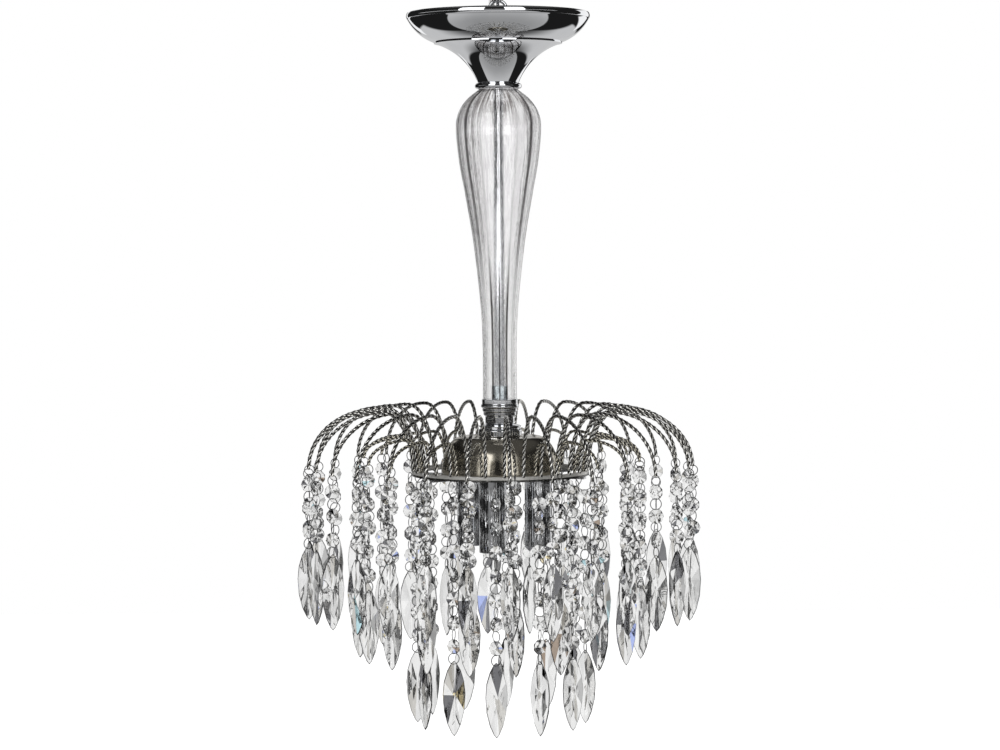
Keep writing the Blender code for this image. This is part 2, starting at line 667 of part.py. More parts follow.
CHAIN = pivot("chain_pivot", UPPER_WIRE_DROP)
LAMP = pivot("lamp_pivot", LOWER_WIRE_DROP)

chain()
canopy_dish()
stem()
hub_and_spider()
crown()
lamps()
supply()
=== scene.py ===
"""Looks of the three-light crystal waterfall pendant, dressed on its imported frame.

Sizes are in millimetres. A drop is a distance below the point where the chain hangs, a radius is measured
from the lamp's upright axis, and an azimuth in degrees runs from the front (0) round to the right (+90).
"""
import functools
import math
import random

import bmesh
import bpy
from mathutils import Matrix, Vector


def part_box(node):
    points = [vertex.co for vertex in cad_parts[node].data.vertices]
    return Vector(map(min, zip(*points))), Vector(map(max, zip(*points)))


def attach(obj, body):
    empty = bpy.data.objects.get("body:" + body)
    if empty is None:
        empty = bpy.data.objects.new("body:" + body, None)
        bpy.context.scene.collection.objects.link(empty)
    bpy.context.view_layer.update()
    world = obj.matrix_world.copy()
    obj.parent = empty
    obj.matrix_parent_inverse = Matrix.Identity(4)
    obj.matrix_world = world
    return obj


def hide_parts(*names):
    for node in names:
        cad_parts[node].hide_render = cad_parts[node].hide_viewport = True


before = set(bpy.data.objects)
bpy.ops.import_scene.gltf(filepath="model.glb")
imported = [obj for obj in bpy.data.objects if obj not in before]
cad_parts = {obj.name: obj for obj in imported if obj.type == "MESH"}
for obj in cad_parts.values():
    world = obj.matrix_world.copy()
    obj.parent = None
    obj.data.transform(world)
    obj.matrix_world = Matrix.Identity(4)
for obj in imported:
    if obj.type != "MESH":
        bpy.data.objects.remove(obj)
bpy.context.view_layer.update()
scene = bpy.context.scene

# The camera: a long lens in front, level with the middle of the stem. Its shift frames the lamp as the photo
# does, and its roll is the lean of the photo's stem.
MM = 0.001
CAMERA_PLACE = (1.0, -2720.0, -281.6)
CAMERA_SHIFT = -0.146
CAMERA_LENS = 97.92
CAMERA_ROLL = 0.3

scene.view_settings.view_transform = "Standard"
camera = bpy.data.objects.new("camera", bpy.data.cameras.new("camera"))
camera.data.lens = CAMERA_LENS
camera.data.shift_y = CAMERA_SHIFT
camera.location = Vector(CAMERA_PLACE) * MM
camera.rotation_euler = (math.pi / 2, math.radians(CAMERA_ROLL), 0.0)
scene.collection.objects.link(camera)
scene.camera = camera

# The studio room that polished metal and glass show: dark, with paper and upright panels behind, a pool of
# light on the floor, a grey wall in front, and thin level strips round the front and the left. A direction
# has parts right, away and up, and an edge is where a surface starts and where it is at its full light.
WHITE = 1.0
EVEN_LIGHT = 0.9
DARK = 0.012
CEILING_LIGHT = 0.10
CEILING_EDGE = (0.5, 0.8)
WALL_LIGHT = 0.22
WALL_EDGE = (0.78, 0.84)
WALL_HEAD = (0.01, -0.01)
POOL_LIGHT = (0.54, 0.30)
POOL_FALL = (-0.6, -1.0)
POOL_MIDDLE = 0.9
POOL_REACH = 1.3
POOL_EDGE = (0.03, -0.03)
POOL_HEAD = (-0.08, -0.14)
PAPER_LIGHT = 0.58
PAPER_EDGE = (-0.72, -0.80)
PAPER_FOOT = (-0.95, -0.60)
PAPER_SPREAD = 1.25
PAPER_SIDES = (0.03, -0.03)
PANELS = (
    {"right": 0.58, "half": 0.22, "light": 1.0},
    {"right": -0.35, "half": 0.06, "light": 1.0},
    {"right": 0.0, "half": 0.2, "light": 0.6},
)
PANEL_SOFT = 0.01
PANEL_FOOT = (-0.36, -0.32)
PANEL_HEAD = (0.4, 0.3)
PANEL_BEHIND = (0.0, 0.05)
STRIPS = (
    {"up": -0.007, "half": 0.015, "light": 0.9},
    {"up": -0.040, "half": 0.018, "light": 0.22},
    {"up": -0.060, "half": 0.003, "light": 0.9},
)
STRIP_SOFT = 0.002
STRIP_BACK = (-0.5, -0.3)
STRIP_FRONT = (0.15, 0.30)
STRIP_LEFT = (0.0, -0.1)
GLASS_LIGHT = 0.95
GLASS_PAPER_EDGE = (-0.78, -0.97)
GLASS_CARDS = 8
GLASS_CARD_EDGE = (0.17, 0.10)
HALF_PITCH = 0.5
LEAST_LEVEL = 0.001
MIX_SOCKETS = {"FLOAT": (0, 2, 3, 0), "RGBA": (0, 6, 7, 2)}


def link(tree, value, socket):
    """Join an output to a socket, or set the socket to a plain value."""
    if isinstance(value, bpy.types.NodeSocket):
        tree.links.new(value, socket)
    else:
        socket.default_value = value


def calc(tree, operation, *values):
    """A Math node's result."""
    node = tree.nodes.new("ShaderNodeMath")
    node.operation = operation
    for value, socket in zip(values, node.inputs):
        link(tree, value, socket)
    return node.outputs[0]


def times(tree, first, *others):
    """The product of two or more values."""
    for other in others:
        first = calc(tree, "MULTIPLY", first, other)
    return first


def fade(tree, value, edge):
    """A smooth step from 0 at the edge's first number to 1 at its second."""
    node = tree.nodes.new("ShaderNodeMapRange")
    node.interpolation_type = "SMOOTHSTEP"
    link(tree, value, node.inputs["Value"])
    node.inputs["From Min"].default_value = edge[0]
    node.inputs["From Max"].default_value = edge[1]
    return node.outputs["Result"]


def within(tree, value, middle, half, soft):
    """1 within half of the middle and 0 outside, with soft edges."""
    distance = calc(tree, "ABSOLUTE", calc(tree, "SUBTRACT", value, middle))
    return fade(tree, distance, (half + soft, half - soft))


def blend(tree, share, first, second, kind="FLOAT"):
    """A mix of two numbers or, of kind RGBA, of two colours."""
    node = tree.nodes.new("ShaderNodeMix")
    node.data_type = kind
    *inputs, output = MIX_SOCKETS[kind]
    for value, number in zip((share, first, second), inputs):
        link(tree, value, node.inputs[number])
    return node.outputs[output]


def seen_in_metal(room, right, away, up, towards):
    """The light from each direction that polished metal shows, laid surface over surface."""
    light = blend(room, fade(room, up, CEILING_EDGE), DARK, CEILING_LIGHT)

    wall = times(room, fade(room, towards, WALL_EDGE), fade(room, up, WALL_HEAD))
    light = blend(room, wall, light, WALL_LIGHT)

    from_middle = calc(room, "MULTIPLY_ADD", up, -POOL_MIDDLE, away)
    reach = calc(room, "MULTIPLY", up, POOL_REACH)
    off_pool = calc(room, "MULTIPLY_ADD", right, right, times(room, from_middle, from_middle))
    off_pool = calc(room, "SUBTRACT", off_pool, times(room, reach, reach))
    pool = times(room, fade(room, off_pool, POOL_EDGE), fade(room, up, POOL_HEAD))
    light = blend(room, pool, light, blend(room, fade(room, up, POOL_FALL), *POOL_LIGHT))

    off_paper = calc(room, "MULTIPLY_ADD", up, PAPER_SPREAD, calc(room, "ABSOLUTE", right))
    paper = times(room, fade(room, towards, PAPER_EDGE), fade(room, up, PAPER_FOOT),
                  fade(room, off_paper, PAPER_SIDES))
    light = blend(room, paper, light, PAPER_LIGHT)

    height = times(room, fade(room, up, PANEL_FOOT), fade(room, up, PANEL_HEAD),
                   fade(room, away, PANEL_BEHIND))
    for panel in PANELS:
        width = within(room, right, panel["right"], panel["half"], PANEL_SOFT)
        light = blend(room, times(room, width, height), light, panel["light"])

    front_or_left = calc(room, "MAXIMUM", fade(room, towards, STRIP_FRONT), fade(room, right, STRIP_LEFT))
    length = times(room, fade(room, towards, STRIP_BACK), front_or_left)
    for strip in STRIPS:
        depth = within(room, up, strip["up"], strip["half"], STRIP_SOFT)
        light = blend(room, times(room, depth, length), light, strip["light"])
    return light


def seen_through_glass(room, right, away, up, towards):
    """The share of white that glass shows from each direction: paper behind, and narrow cards all round."""
    cards = calc(room, "MULTIPLY", calc(room, "ARCTAN2", right, away), GLASS_CARDS / math.tau)
    off_card = calc(room, "PINGPONG", cards, HALF_PITCH)
    paper = fade(room, towards, GLASS_PAPER_EDGE)
    white = calc(room, "MAXIMUM", paper, fade(room, off_card, GLASS_CARD_EDGE))
    return times(room, white, fade(room, up, PAPER_FOOT))


scene.world = bpy.data.worlds.new("studio_room")
scene.world.use_nodes = True
room = scene.world.node_tree
direction = room.nodes.new("ShaderNodeSeparateXYZ")
room.links.new(room.nodes.new("ShaderNodeTexCoord").outputs["Generated"], direction.inputs[0])
right, away, up = direction.outputs
level = calc(room, "SQRT", calc(room, "SUBTRACT", 1.0, times(room, up, up)))
towards = calc(room, "DIVIDE", calc(room, "MULTIPLY", away, -1.0), calc(room, "MAXIMUM", level, LEAST_LEVEL))
ray = room.nodes.new("ShaderNodeLightPath").outputs
light = seen_in_metal(room, right, away, up, towards)
white = times(room, seen_through_glass(room, right, away, up, towards), ray["Is Transmission Ray"])
light = blend(room, white, light, GLASS_LIGHT)
light = blend(room, ray["Is Diffuse Ray"], light, EVEN_LIGHT)
light = blend(room, ray["Is Camera Ray"], light, WHITE)
room.links.new(light, room.nodes["Background"].inputs["Strength"])
room.nodes["Background"].inputs["Color"].default_value = (WHITE, WHITE, WHITE, 1.0)

# The lights and the floor: two tall softboxes in front, which the camera doesn't see, and white paper well
# below the lamp, which metal and glass don't show.
SOFTBOXES = ({"azimuth": -33.0, "width": 1500.0}, {"azimuth": 21.0, "width": 1150.0})
SOFTBOX_DISTANCE = 2600.0
SOFTBOX_DROPS = (425.0, -1900.0)
SOFTBOX_POWER = 20.0
FLOOR_DROP = 1300.0
FLOOR_SIZE = 9000.0
FLOOR_GREY = (0.8, 0.8, 0.8, 1.0)
FLOOR_GLOW = (0.45, 0.45, 0.45, 1.0)


def around(radius, azimuth, drop):
    """A place in millimetres from its radius, azimuth and drop."""
    angle = math.radians(azimuth)
    return Vector((radius * math.sin(angle), -radius * math.cos(angle), -drop))


def mesh_of(name, bm):
    """The mesh of a finished bmesh."""
    mesh = bpy.data.meshes.new(name)
    bm.to_mesh(mesh)
    bm.free()
    return mesh


def floor_paper():
    """Matt paper with a glow that the camera alone sees, so that the floor meets the white room unseen."""
    material = bpy.data.materials.new("white_paper")
    material.use_nodes = True
    tree = material.node_tree
    tree.nodes.remove(tree.nodes["Principled BSDF"])
    matt = tree.nodes.new("ShaderNodeBsdfDiffuse")
    glow = tree.nodes.new("ShaderNodeEmission")
    both = tree.nodes.new("ShaderNodeAddShader")
    matt.inputs["Color"].default_value = FLOOR_GREY
    glow.inputs["Color"].default_value = FLOOR_GLOW
    tree.links.new(tree.nodes.new("ShaderNodeLightPath").outputs["Is Camera Ray"], glow.inputs["Strength"])
    tree.links.new(matt.outputs[0], both.inputs[0])
    tree.links.new(glow.outputs[0], both.inputs[1])
    tree.links.new(both.outputs[0], tree.nodes["Material Output"].inputs["Surface"])
    return material


for box in SOFTBOXES:
    softbox = bpy.data.objects.new("softbox", bpy.data.lights.new("softbox", "AREA"))
    softbox.data.shape = "RECTANGLE"
    softbox.data.size = box["width"] * MM
    softbox.data.size_y = (SOFTBOX_DROPS[0] - SOFTBOX_DROPS[1]) * MM
    softbox.data.energy = SOFTBOX_POWER
    softbox.location = around(SOFTBOX_DISTANCE, box["azimuth"], sum(SOFTBOX_DROPS) / 2) * MM
    softbox.rotation_euler = around(1.0, box["azimuth"], 0.0).to_track_quat("Z", "Y").to_euler()
    softbox.visible_camera = False
    scene.collection.objects.link(softbox)

bm = bmesh.new()
bmesh.ops.create_grid(bm, x_segments=1, y_segments=1, size=FLOOR_SIZE / 2 * MM)
bmesh.ops.translate(bm, verts=bm.verts[:], vec=(0.0, 0.0, -FLOOR_DROP * MM))
floor = bpy.data.objects.new("floor", mesh_of("floor", bm))
floor.data.materials.append(floor_paper())
floor.visible_glossy = False
floor.visible_transmission = False
scene.collection.objects.link(floor)

# The supply flex: two cores twisted in a clear sheath, held beside the chain. It goes into the clamp inside
# the dish and ends above the picture in a terminal block, where the ceiling wiring joins it.
FLEX_DIAMETER = 6.0
FLEX_ROUTE = [
    (-6.0, 15.5, 22.3), (-6.0, 15.5, 40.0), (-6.0, 15.4, 58.0),
    (-5.6, 13.4, 72.0), (-5.0, 10.2, 86.0), (-4.8, 9.2, 97.7),
]
FLEX_STEPS = 6
CORE_WIRE = 1.9
CORE_HELIX = 0.55 * CORE_WIRE
CORE_LAY = 17.0
TWISTED_WIRES = 2
STEPS_PER_TURN = 8
FINE_ROUND = 4
PLAIN_ROUND = 2
CLOUD_EDGE = (0.42, 0.72)
CLOUD_DETAIL = 4.0


def smooth_through(route, per_span):
    """Points of a Catmull-Rom curve through the route's own points."""
    knots = [Vector(route[0]) * 2 - Vector(route[1]), *map(Vector, route)]
    knots.append(knots[-1] * 2 - knots[-2])
    points = []
    for a, b, c, d in zip(knots, knots[1:], knots[2:], knots[3:]):
        for i in range(per_span):
            t = i / per_span
            bend = 2 * a - 5 * b + 4 * c - d
            twist = -a + 3 * b - 3 * c + d
            points.append((2 * b + (c - a) * t + bend * t ** 2 + twist * t ** 3) / 2)
    return points + [Vector(route[-1])]


def wire_curve(name, paths, diameter, roundness, closed=False):
    """Round wires along paths of points, as one curve object."""
    data = bpy.data.curves.new(name, "CURVE")
    data.dimensions = "3D"
    data.bevel_depth = diameter / 2 * MM
    data.bevel_resolution = roundness
    data.use_fill_caps = not closed
    for path in paths:
        spline = data.splines.new("POLY")
        spline.points.add(len(path) - 1)
        spline.use_cyclic_u = closed
        for point, place in zip(spline.points, path):
            point.co = (*(Vector(place) * MM), 1.0)
        spline.use_smooth = True
    curve = bpy.data.objects.new(name, data)
    scene.collection.objects.link(curve)
    return curve


def twisted(path, side, helix, lay):
    """Paths of wires twisted round a middle line; side is a direction that stays square to that line."""
    lengths = [0.0]
    for before, after in zip(path, path[1:]):
        lengths.append(lengths[-1] + (after - before).length)
    count = max(2, round(lengths[-1] / lay * STEPS_PER_TURN))
    wires = [[] for wire in range(TWISTED_WIRES)]
    span = 0
    for i in range(count + 1):
        run = lengths[-1] * i / count
        while span < len(path) - 2 and lengths[span + 1] < run:
            span += 1
        start, end = path[span], path[span + 1]
        along = (end - start).normalized()
        middle_point = start + along * (run - lengths[span])
        over = along.cross(side).normalized()
        for number, wire in enumerate(wires):
            angle = math.tau * (run / lay + number / TWISTED_WIRES)
            wire.append(middle_point + (side * math.cos(angle) + over * math.sin(angle)) * helix)
    return wires


def dress(piece, material, body, slot, *nodes):
    """Give a finished piece its material and its body, and hide the CAD nodes it stands for.
    The slot is not used.
    """
    piece.data.materials.append(material)
    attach(piece, body)
    if nodes:
        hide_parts(*nodes)
    return piece


def cloudiness():
    """The clouds of handling that all surfaces share, which dull them and shift their colours a little."""
    group = bpy.data.node_groups.new("cloudiness", "ShaderNodeTree")
    sockets = group.interface
    for name, kind in (("Colour", "NodeSocketColor"), ("Clouded Colour", "NodeSocketColor"),
                       ("Roughness", "NodeSocketFloat"), ("Clouded Roughness", "NodeSocketFloat"),
                       ("Scale", "NodeSocketFloat")):
        sockets.new_socket(name, in_out="INPUT", socket_type=kind)
    sockets.new_socket("Colour", in_out="OUTPUT", socket_type="NodeSocketColor")
    sockets.new_socket("Roughness", in_out="OUTPUT", socket_type="NodeSocketFloat")
    given = group.nodes.new("NodeGroupInput").outputs
    result = group.nodes.new("NodeGroupOutput").inputs
    noise = group.nodes.new("ShaderNodeTexNoise")
    group.links.new(group.nodes.new("ShaderNodeTexCoord").outputs["Object"], noise.inputs["Vector"])
    group.links.new(given["Scale"], noise.inputs["Scale"])
    noise.inputs["Detail"].default_value = CLOUD_DETAIL
    cloud = fade(group, noise.outputs["Fac"], CLOUD_EDGE)
    colour = blend(group, cloud, given["Colour"], given["Clouded Colour"], "RGBA")
    group.links.new(colour, result["Colour"])
    roughness = blend(group, cloud, given["Roughness"], given["Clouded Roughness"])
    group.links.new(roughness, result["Roughness"])
    return group


CLOUDINESS = cloudiness()


def surface(name, colour, clouded, roughness, scale, metallic=0.0, transmission=0.0, ior=1.5):
    """A material with the clouds of handling over its colour and roughness."""
    material = bpy.data.materials.new(name)
    material.use_nodes = True
    tree = material.node_tree
    shader = tree.nodes["Principled BSDF"]
    clouds = tree.nodes.new("ShaderNodeGroup")
    clouds.node_tree = CLOUDINESS
    clouds.inputs["Colour"].default_value = (*colour, 1.0)
    clouds.inputs["Clouded Colour"].default_value = (*clouded, 1.0)
    clouds.inputs["Roughness"].default_value = roughness[0]
    clouds.inputs["Clouded Roughness"].default_value = roughness[1]
    clouds.inputs["Scale"].default_value = scale
    tree.links.new(clouds.outputs["Colour"], shader.inputs["Base Color"])
    tree.links.new(clouds.outputs["Roughness"], shader.inputs["Roughness"])
    shader.inputs["Metallic"].default_value = metallic
    shader.inputs["Transmission Weight"].default_value = transmission
    shader.inputs["IOR"].default_value = ior
    return material


clear_sheath = surface("clear_sheath", (0.93, 0.93, 0.92), (0.86, 0.87, 0.86),
                       roughness=(0.04, 0.14), scale=60.0, transmission=0.95, ior=1.38)
tinned_wire = surface("tinned_wire", (0.66, 0.66, 0.65), (0.50, 0.50, 0.49),
                      roughness=(0.22, 0.36), scale=220.0, metallic=1.0)
flex_line = smooth_through([(x, y, -drop) for x, y, drop in FLEX_ROUTE], FLEX_STEPS)[::-1]
flex = wire_curve("supply_flex_sheath", [flex_line], FLEX_DIAMETER, FINE_ROUND)
dress(flex, clear_sheath, "lamp", "clear_sheath", "supply_flex")
core_paths = twisted(flex_line, Vector((1, 0, 0)), CORE_HELIX, CORE_LAY)
cores = wire_curve("supply_flex_cores", core_paths, CORE_WIRE, PLAIN_ROUND)
dress(cores, tinned_wire, "lamp", "plated_steel")

# The terminal block at the flex's end: a moulded white body with a screw over each wire. The ceiling wiring
# goes in at its top.
BLOCK_EDGE = 0.9
BLOCK_EDGE_STEPS = 3
SCREW_RADIUS = 2.1
SCREW_TAPER = 0.8
SCREW_HEIGHT = 1.0
SCREW_SIDES = 20
SCREW_SLOT = 0.5
SCREW_DROPS = (9.5, 17.5)
SCREW_SHARP = 30.0
PLAIN_SHARP = 35.0


def joined(name, bm, sharp=PLAIN_SHARP):
    """A piece from a bmesh: smooth, apart from edges sharper than the angle. An angle of 0 keeps it flat."""
    mesh = mesh_of(name, bm)
    if sharp:
        mesh.shade_smooth()
        mesh.set_sharp_from_angle(angle=math.radians(sharp))
    else:
        mesh.shade_flat()
    piece = bpy.data.objects.new(name, mesh)
    scene.collection.objects.link(piece)
    return piece


white_plastic = surface("white_plastic", (0.80, 0.80, 0.78), (0.74, 0.74, 0.72),
                        roughness=(0.42, 0.55), scale=90.0)
brass = surface("brass", (0.72, 0.55, 0.28), (0.58, 0.44, 0.22),
                roughness=(0.18, 0.34), scale=120.0, metallic=1.0)
block_low, block_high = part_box("terminal_block")
bm = bmesh.new()
bmesh.ops.create_cube(bm, size=1.0)
bmesh.ops.scale(bm, verts=bm.verts[:], vec=block_high - block_low)
bmesh.ops.translate(bm, verts=bm.verts[:], vec=(block_low + block_high) / 2)
bmesh.ops.bevel(bm, geom=bm.edges[:], offset=BLOCK_EDGE * MM, affect="EDGES", segments=BLOCK_EDGE_STEPS,
                profile=0.5, material=-1)
block = dress(joined("terminal_block_body", bm), white_plastic, "lamp", "white_plastic", "terminal_block")
bm = bmesh.new()
front_face = Matrix.Rotation(math.pi / 2, 4, "X")
for drop in SCREW_DROPS:
    spot = Vector(((block_low.x + block_high.x) / 2, block_low.y, -drop * MM))
    bmesh.ops.create_cone(bm, cap_ends=True, segments=SCREW_SIDES, radius1=SCREW_RADIUS * MM,
                          radius2=SCREW_RADIUS * SCREW_TAPER * MM, depth=SCREW_HEIGHT * MM,
                          matrix=Matrix.Translation(spot) @ front_face)
    caps = [face for face in bm.faces
            if len(face.verts) == SCREW_SIDES and face.calc_center_median().y < block_low.y]
    bmesh.ops.inset_region(bm, faces=caps[-1:], thickness=SCREW_SLOT * MM, depth=-SCREW_SLOT * MM)
screws = dress(joined("terminal_screws", bm, SCREW_SHARP), brass, "lamp", "plated_steel")

# The chain: two oval links bent from chromed wire, the upper face on and the lower edge on. The lower one
# passes through the suspension eye.
CHAIN_WIRE = 3.2
LINK_LENGTH = 34.8
LINK_WIDTH = 22.0
LINK_STEPS = 20
CHAIN_LINKS = {
    "upper": {"body": "hanger", "top": -CHAIN_WIRE, "across": (1, 0, 0)},
    "lower": {"body": "chain", "top": 24.3, "across": (0, 1, 0)},
}


def link_path(top, across):
    """The middle line of an oval link whose outside starts at this drop."""
    bend = (LINK_WIDTH - CHAIN_WIRE) / 2
    straight = LINK_LENGTH - LINK_WIDTH
    points = []
    for half in (1, -1):
        centre = -(top + LINK_LENGTH / 2) + half * straight / 2
        for i in range(LINK_STEPS + 1):
            angle = math.pi * i / LINK_STEPS
            height = centre + half * bend * math.sin(angle)
            points.append(across * (half * bend * math.cos(angle)) + Vector((0, 0, height)))
    return points


chrome = surface("polished_chrome", (0.86, 0.87, 0.89), (0.80, 0.81, 0.83),
                 roughness=(0.025, 0.05), scale=35.0, metallic=1.0)
for name, oval in CHAIN_LINKS.items():
    path = link_path(oval["top"], Vector(oval["across"]))
    chain_link = wire_curve(f"{name}_link", [path], CHAIN_WIRE, FINE_ROUND, closed=True)
    dress(chain_link, chrome, oval["body"], "polished_chrome", f"{name}_chain_link")

# The suspension eye: a chromed wire ring brazed on a turned ferrule that screws over the top of the tube.
# It stands in the dish, and the lower chain link holds it.
EYE_DROP = 61.9
EYE_RADIUS = 8.6
EYE_WIRE = 3.4
EYE_WIRE_SIDES = 16
EYE_STEPS = 48
ROD_CLEAR = 5.3
ROD_TOP = 74.5
FERRULE_SHAPE = [
    (0.0, 69.65), (4.8, 69.65), (8.0, 73.5), (8.0, 82.65),
    (ROD_CLEAR, 82.65), (ROD_CLEAR, ROD_TOP), (0.0, ROD_TOP),
]
ROUND = 96
SAME_PLACE = 0.001


def add_ring(bm, drop, radius, wire, sides, steps):
    """Start a bmesh with an upright ring of round wire, face on, with its middle at this drop."""
    centre = Vector((0.0, 0.0, -drop)) * MM
    section_place = Matrix.Translation(centre + Vector((radius * MM, 0.0, 0.0)))
    bmesh.ops.create_circle(bm, segments=sides, radius=wire / 2 * MM, matrix=section_place)
    bmesh.ops.spin(bm, geom=bm.verts[:] + bm.edges[:], cent=centre, axis=(0, 1, 0), angle=math.tau,
                   steps=steps, use_merge=True)
    bmesh.ops.recalc_face_normals(bm, faces=bm.faces[:])


def turn(bm, profile, steps=ROUND, place=(0.0, 0.0)):
    """Turn a profile of radius and drop, down its outside and back up its bore, about an upright axis."""
    centre = Vector((*place, 0.0)) * MM
    verts = [bm.verts.new(centre + Vector((radius, 0.0, -drop)) * MM) for radius, drop in profile]
    edges = [bm.edges.new(pair) for pair in zip(verts, verts[1:])]
    if profile[0][0] > 0.0:
        edges.append(bm.edges.new((verts[-1], verts[0])))
    bmesh.ops.spin(bm, geom=verts + edges, cent=centre, axis=(0, 0, 1), angle=math.tau, steps=steps,
                   use_merge=True)
    bmesh.ops.remove_doubles(bm, verts=bm.verts[:], dist=SAME_PLACE * MM)
    bmesh.ops.recalc_face_normals(bm, faces=bm.faces[:])


bm = bmesh.new()
add_ring(bm, EYE_DROP, EYE_RADIUS, EYE_WIRE, EYE_WIRE_SIDES, EYE_STEPS)
turn(bm, FERRULE_SHAPE, EYE_STEPS)
dress(joined("eye_and_ferrule", bm), chrome, "lamp", "polished_chrome", "suspension_eye")

# The canopy dish: spun from sheet and chromed, a shallow bowl with a rolled rim that breaks at a crisp step
# into a trumpet neck. The clamp inside holds it on the tube, and a turned ring closes its neck.
LIP_TOP = (91.2, 65.9)
LIP_FOOT = (91.4, 71.3)
BOWL_TOP = (91.0, 71.6)
BOWL_BREAK = (64.0, 95.0)
DISH_LEDGE = (64.2, 96.2)
TRUMPET_TOP = (61.6, 96.6)
TRUMPET_FOOT = (20.5, 135.4)
LIP_BULGE = 0.12
BOWL_BULGE = 0.096
TRUMPET_BULGE = -0.111
LIP_STEPS = 12
BOWL_STEPS = 24
TRUMPET_STEPS = 28
DISH_WALL = 1.2
DISH_ROUND = 160
DISH_SHARP = 28.0
NECK_RING_TOP = (20.5, 135.7)
NECK_RING_FOOT = (20.5, 141.7)
HALF_CIRCLE = 0.5
NECK_RING_STEPS = 16
CLAMP_SHAPE = [
    (14.5, 98.0), (14.5, 127.0), (20.0, 127.0), (20.0, 129.5), (ROD_CLEAR, 129.5), (ROD_CLEAR, 98.0),
]
CLAMP_ROUND = 64
PLAIN_SOFT = 0.5
SOFT_ANGLE = 30.0
SOFT_STEPS = 2


def arc(start, end, bulge, steps):
    """Points of an arc down a profile; bulge is its rise over its chord, + away from the axis."""
    start, end = Vector(start), Vector(end)
    chord = end - start
    away_side = Vector((chord.y, -chord.x))
    half_angle = 2.0 * math.atan(2.0 * bulge)
    centre = (start + end) / 2 - away_side / (2.0 * math.tan(half_angle))
    spoke = start - centre
    turns = [Matrix.Rotation(2.0 * half_angle * i / steps, 2) for i in range(steps + 1)]
    return [tuple(centre + part @ spoke) for part in turns]


def bored(outside):
    """The profile of a piece that the lamp tube goes through, from its outside."""
    return [*outside, (ROD_CLEAR, outside[-1][1]), (ROD_CLEAR, outside[0][1])]


def turned_piece(name, profile, steps=ROUND, place=(0.0, 0.0), sharp=PLAIN_SHARP):
    """A piece that is one turned profile."""
    bm = bmesh.new()
    turn(bm, profile, steps, place)
    return joined(name, bm, sharp)


def soften(piece, width=PLAIN_SOFT, angle=SOFT_ANGLE):
    """Round a turned or cut piece's sharp edges, as polishing does."""
    bevel = piece.modifiers.new("Soft edges", "BEVEL")
    bevel.width = width * MM
    bevel.segments = SOFT_STEPS
    bevel.limit_method = "ANGLE"
    bevel.angle_limit = math.radians(angle)
    return piece


lip = arc(LIP_TOP, LIP_FOOT, LIP_BULGE, LIP_STEPS)
bowl = arc(BOWL_TOP, BOWL_BREAK, BOWL_BULGE, BOWL_STEPS)
trumpet = arc(TRUMPET_TOP, TRUMPET_FOOT, TRUMPET_BULGE, TRUMPET_STEPS)
inner_bowl = [(radius - DISH_WALL, drop - DISH_WALL / 2) for radius, drop in (lip[0], *bowl)]
inner_trumpet = [(radius - DISH_WALL, drop - DISH_WALL) for radius, drop in trumpet[1:-1]]
inner = [*inner_bowl, *inner_trumpet, (TRUMPET_FOOT[0] - DISH_WALL, TRUMPET_FOOT[1])]
dish_shape = [*lip, *bowl, DISH_LEDGE, *trumpet, *inner[::-1]]
dish = turned_piece("spun_dish", dish_shape, DISH_ROUND, sharp=DISH_SHARP)
dress(dish, chrome, "lamp", "polished_chrome", "canopy_dish")
neck_bead = arc(NECK_RING_TOP, NECK_RING_FOOT, HALF_CIRCLE, NECK_RING_STEPS)
dress(turned_piece("neck_ring", bored(neck_bead)), chrome, "lamp", "polished_chrome", "dish_neck_ring")
plated_steel = surface("plated_steel", (0.62, 0.62, 0.63), (0.50, 0.50, 0.51),
                       roughness=(0.22, 0.38), scale=70.0, metallic=1.0)
clamp = soften(turned_piece("dish_clamp_nut", CLAMP_SHAPE, CLAMP_ROUND))
dress(clamp, plated_steel, "lamp", "plated_steel", "dish_clamp")

# The stem: a ribbed column of clear glass, blown in a mould with fourteen lobes, round the chromed lamp
# tube. A hexagon coupling in its foot joins the tube's two lengths and clamps the glass on the collar below.
GLASS_TOP = 141.9
GLASS_SHAPE = [
    (19.5, 0.0), (31.5, 10.0), (40.0, 23.0), (42.7, 40.0), (39.5, 73.0),
    (33.6, 106.0), (26.0, 152.0), (19.2, 212.0), (17.0, 255.0), (17.0, 309.2),
]
GLASS_SPAN_STEPS = 6
GLASS_WALL = 3.0
GLASS_MOUTH = 13.0
GLASS_RIBS = 14
STEPS_PER_RIB = 12
GLASS_SHARP = 24.0
RIB_SKIN = 0.1
RIB_DEPTH = 0.005
RIB_SHARPNESS = 5.0
BULB_FOOT = (-0.36, -0.28)
# Painted shade on the glass: a dark line down each groove, and down the ridges of the bulb's left lobes.
GROOVE_SHADE_EDGE = (0.79, 0.90)
GROOVE_SHADE_FINER = 0.03
GROOVE_SHADE_SIDES = (0.3, 0.8)
GROOVE_SHADE_MIDDLE = (0.95, 0.6)
GROOVE_SHADE_GREY = (0.04, 0.037, 0.037)
RIDGE_SHADE_EDGE = (0.09, 0.03)
RIDGE_SHADE_SIDE = (-0.2, -0.6)
RIDGE_SHADE_GREY = (0.16, 0.155, 0.155)
STREAK_SCALE = 24.0
STREAK_RUN = 2.0
STREAK_DETAIL = 3.0
STREAK_RELIEF = 0.4
STREAK_BUMP = 0.3
STREAKS = {"edge": (0.46, 0.56), "heights": (-0.42, -0.24), "grey": (0.90, 0.89, 0.90)}
# Painted shade: the streaks turn dark grey at the top of the glass, round its neck.
NECK_SHADE = {"edge": (0.50, 0.62), "heights": (-0.182, -0.150), "grey": (0.30, 0.28, 0.27)}
GLASS_GLOSS = 0.1
ROD_RADIUS = 5.0
ROD_BORE = 3.5
ROD_FOOT = 540.3
ROD_ROUND = 32
COUPLING_TOP = 438.1
COUPLING_FOOT = 451.1
NUT_CORNER = 8.1
NUT_BORE = 5.4
NUT_SIDES = 6
NUT_SOFT = 0.4


